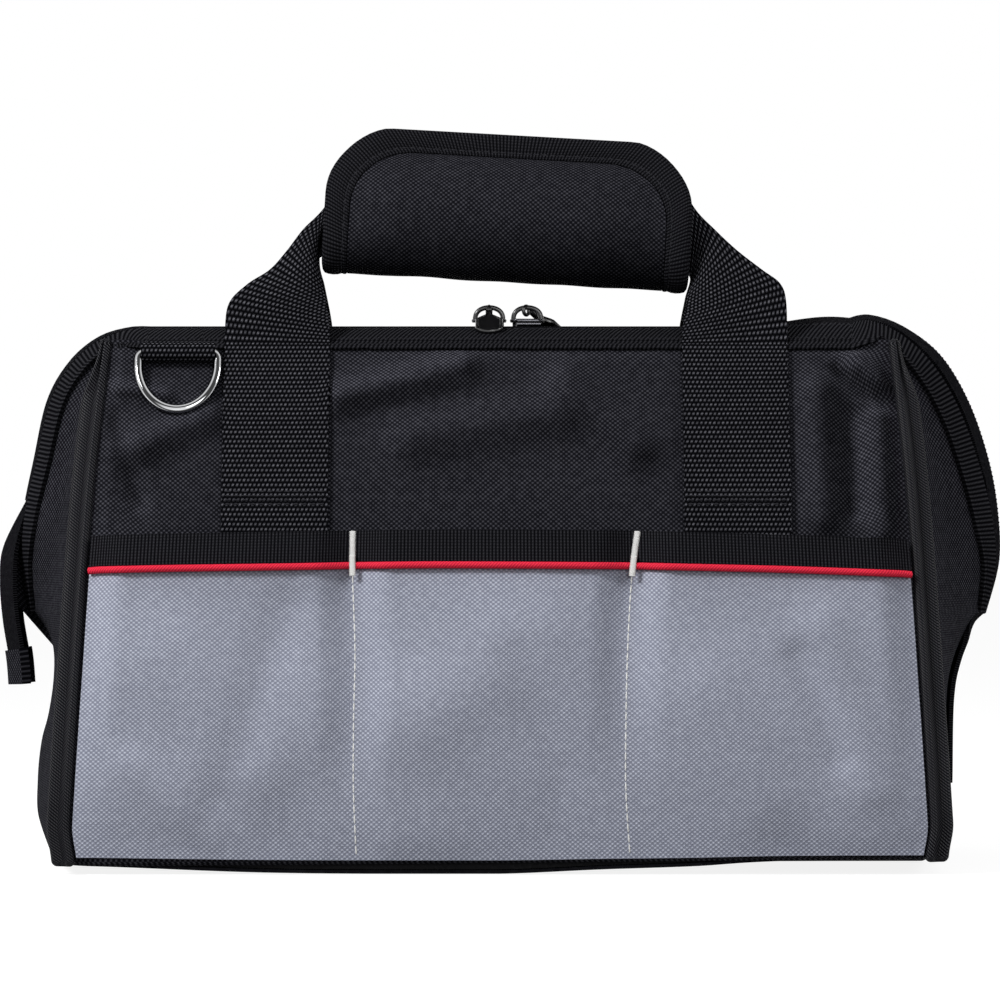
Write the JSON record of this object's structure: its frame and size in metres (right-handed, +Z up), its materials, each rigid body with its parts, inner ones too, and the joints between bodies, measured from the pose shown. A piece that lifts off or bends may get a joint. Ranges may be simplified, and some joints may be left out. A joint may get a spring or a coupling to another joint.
{
  "type": "tool bag",
  "caption": "Soft wide-mouth tool bag with a zipped top, sewn outer pockets and two webbing handles joined by a padded fold-over grip.",
  "frame": {"origin": "centre of the underside of the base, which the bag stands on", "axes": "+X along the mouth's zip, to the right as seen from the front; the front pockets face -Y; +Z up"},
  "size_m": [0.368, 0.1728, 0.2677],
  "materials": {
    "black_fabric": "coarse black plain weave",
    "black_webbing": "black woven webbing",
    "black_tape": "black ribbed twill tape",
    "grey_fabric": "coarse grey plain weave",
    "red_piping": "red woven piping",
    "white_thread": "white sewing thread",
    "foam_sheet": "closed-cell foam",
    "board": "stiff sheet",
    "liner_fabric": "thin black lining",
    "zip_plastic": "black moulded teeth and tape",
    "slider_metal": "gunmetal",
    "pull_metal": "black enamel",
    "ring_metal": "bright plated",
    "hook_tape": "hook and loop tape"
  },
  "bodies": {
    "bag": {"base_panel": "black_fabric", "base_board": "board", "liner": "liner_fabric", "front_panel": "black_fabric", "front_foam": "foam_sheet", "back_panel": "black_fabric", "back_foam": "foam_sheet", "left_end_panel": "black_fabric", "right_end_panel": "black_fabric", "corner_piping_front_left": "black_fabric", "corner_piping_front_right": "black_fabric", "corner_piping_back_left": "black_fabric", "corner_piping_back_right": "black_fabric", "front_pocket": "grey_fabric", "back_pocket": "grey_fabric", "front_pocket_tape": "black_tape", "back_pocket_tape": "black_tape", "front_pocket_piping": "red_piping", "back_pocket_piping": "red_piping", "front_bartack_left": "white_thread", "front_bartack_right": "white_thread", "back_bartack_left": "white_thread", "back_bartack_right": "white_thread", "strap_front_left": "black_webbing", "strap_front_right": "black_webbing", "strap_back_left": "black_webbing", "strap_back_right": "black_webbing", "ear_band_front_left": "black_tape", "ear_band_front_right": "black_tape", "ear_band_back_left": "black_tape", "ear_band_back_right": "black_tape", "ear_zip_left": "zip_plastic", "ear_zip_right": "zip_plastic", "left_zip_tail": "black_tape", "left_tail_tab": "black_fabric", "right_zip_tail": "black_tape", "d_ring_tab_front": "black_webbing", "d_ring_tab_back": "black_webbing"},
    "front_lip": {"front_lip_band": "black_tape", "front_lip_zip": "zip_plastic"},
    "back_lip": {"back_lip_band": "black_tape", "back_lip_zip": "zip_plastic"},
    "left_slider": {"slider_left": "slider_metal"},
    "right_slider": {"slider_right": "slider_metal"},
    "left_pull": {"pull_left": "pull_metal"},
    "right_pull": {"pull_right": "pull_metal"},
    "handle": {"handle_front": "black_webbing", "handle_back": "black_webbing", "leg_front_left": "black_webbing", "leg_front_right": "black_webbing", "leg_back_left": "black_webbing", "leg_back_right": "black_webbing", "grip_back": "black_fabric", "grip_back_binding": "black_tape", "grip_loop_strip": "hook_tape"},
    "flap": {"grip_flap": "black_fabric", "grip_flap_binding": "black_tape", "grip_hook_strip": "hook_tape"},
    "front_ring": {"d_ring_front": "ring_metal"},
    "back_ring": {"d_ring_back": "ring_metal"}
  },
  "joints": [
    {"name": "mouth_open", "type": "hinge", "parent": "bag", "child": "front_lip", "pos_m": [0, -0.02208, 0.18856], "axis": [-1, 0, 0], "range_deg": [0, 80], "deforming": ["front_lip_zip"]},
    {"name": "back_lip_fold", "type": "hinge", "parent": "bag", "child": "back_lip", "pos_m": [0, 0.02208, 0.18856], "axis": [1, 0, 0], "range_deg": [0, 80], "deforming": ["back_lip_zip"]},
    {"name": "left_slider_run", "type": "slide", "parent": "bag", "child": "left_slider", "axis": [-1, 0, 0], "range_m": [0, 0.115]},
    {"name": "right_slider_run", "type": "slide", "parent": "bag", "child": "right_slider", "axis": [1, 0, 0], "range_m": [0, 0.105]},
    {"name": "left_pull_lift", "type": "hinge", "parent": "left_slider", "child": "left_pull", "pos_m": [-0.004, 0, 0.2026], "axis": [-1, 0, 0], "range_deg": [0, 40]},
    {"name": "right_pull_lift", "type": "hinge", "parent": "right_slider", "child": "right_pull", "pos_m": [0.01, 0, 0.2026], "axis": [0.788, -0.6157, 0], "range_deg": [0, 40]},
    {"name": "handle_swing", "type": "hinge", "parent": "bag", "child": "handle", "pos_m": [0, 0, 0.188], "axis": [1, 0, 0], "range_deg": [-30, 30], "deforming": ["leg_front_left", "leg_front_right", "leg_back_left", "leg_back_right"]},
    {"name": "flap_open", "type": "hinge", "parent": "handle", "child": "flap", "pos_m": [0.00179, -0.01471, 0.21521], "axis": [0.9984, 0, -0.0558], "range_deg": [0, 100]},
    {"name": "front_ring_turn", "type": "hinge", "parent": "bag", "child": "front_ring", "pos_m": [-0.11635, -0.02956, 0.18505], "axis": [-1, 0, 0], "range_deg": [0, 150]},
    {"name": "back_ring_turn", "type": "hinge", "parent": "bag", "child": "back_ring", "pos_m": [0.11935, 0.02956, 0.18505], "axis": [1, 0, 0], "range_deg": [0, 150]}
  ],
  "couplings": [
    {"joint": "back_lip_fold", "follows": "mouth_open", "ratio": 1},
    {"joint": "left_slider_run", "follows": "mouth_open", "m_per_rad": 0.0823},
    {"joint": "right_slider_run", "follows": "mouth_open", "m_per_rad": 0.0752}
  ]
}
